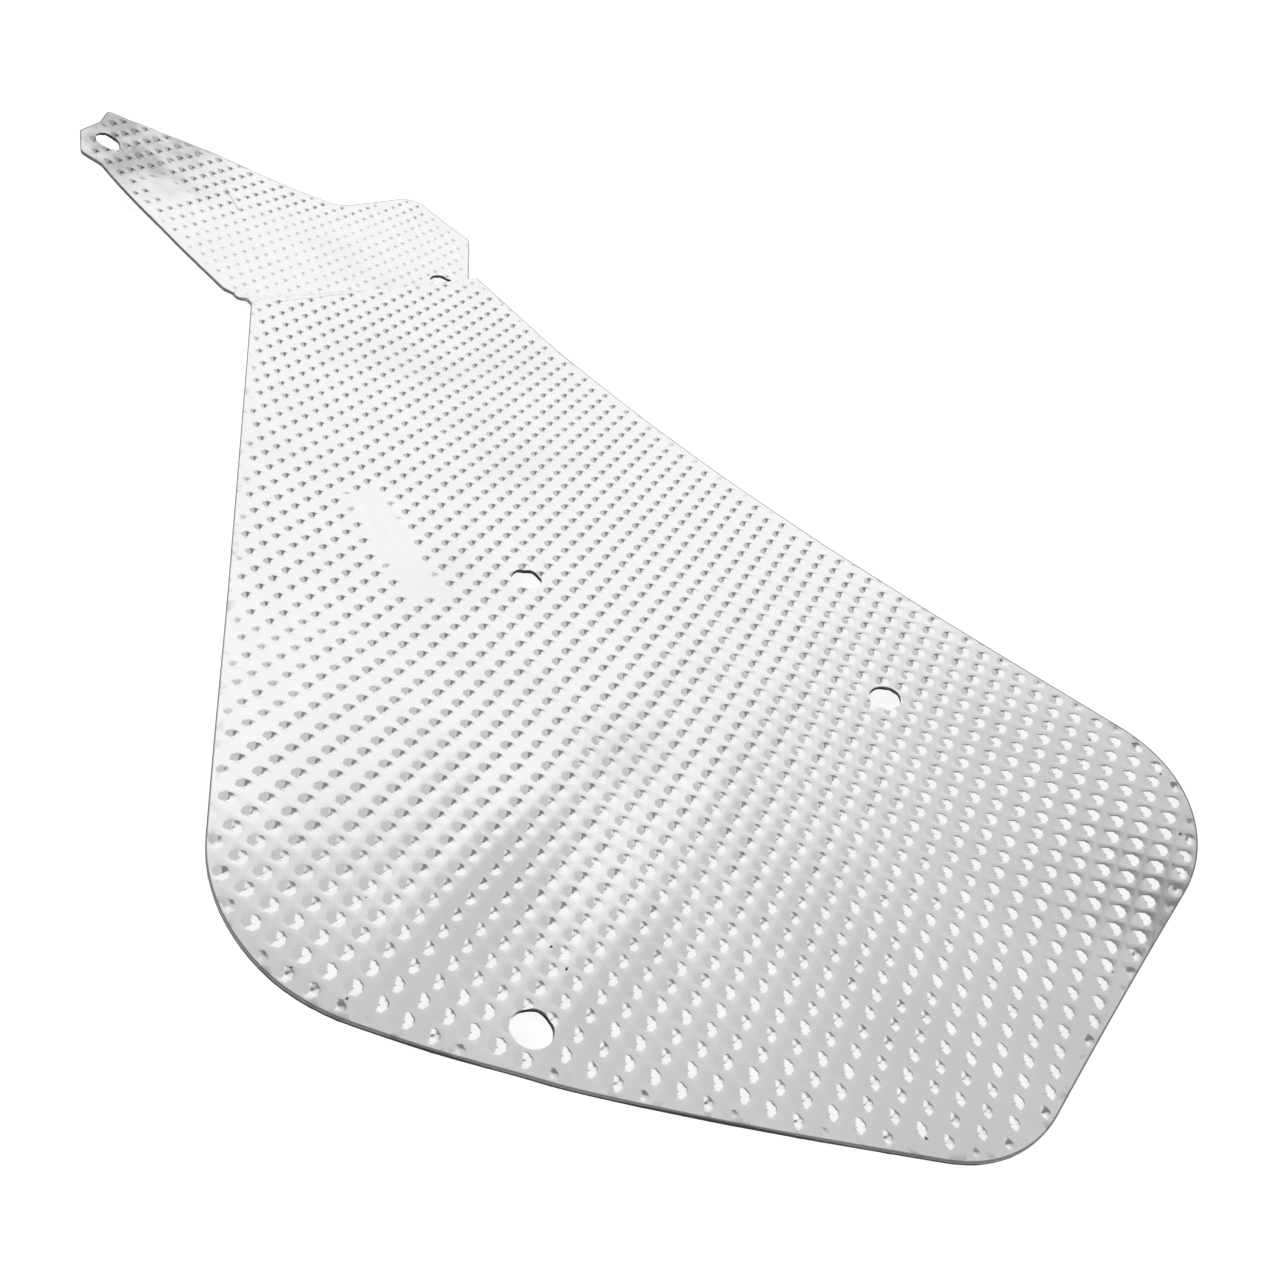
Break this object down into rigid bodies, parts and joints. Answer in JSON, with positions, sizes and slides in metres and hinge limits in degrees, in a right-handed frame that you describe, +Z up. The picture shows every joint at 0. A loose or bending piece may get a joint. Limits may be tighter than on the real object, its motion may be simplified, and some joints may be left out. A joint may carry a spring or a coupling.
{
  "type": "heat shield",
  "caption": "Tapering embossed aluminium heat shield with a shallow trough, a joggled neck, a curled fixing tab and plain punched holes.",
  "frame": {"origin": "on the resting surface, below the centre of the sheet's bounding box", "axes": "+X along the sheet from the blunt nose to the tab, +Z up from the resting surface"},
  "size_m": [0.4402, 0.2118, 0.0232],
  "materials": {
    "sheet": "bright rolled, embossed"
  },
  "bodies": {
    "root": {"heat_shield": "sheet"}
  },
  "joints": []
}
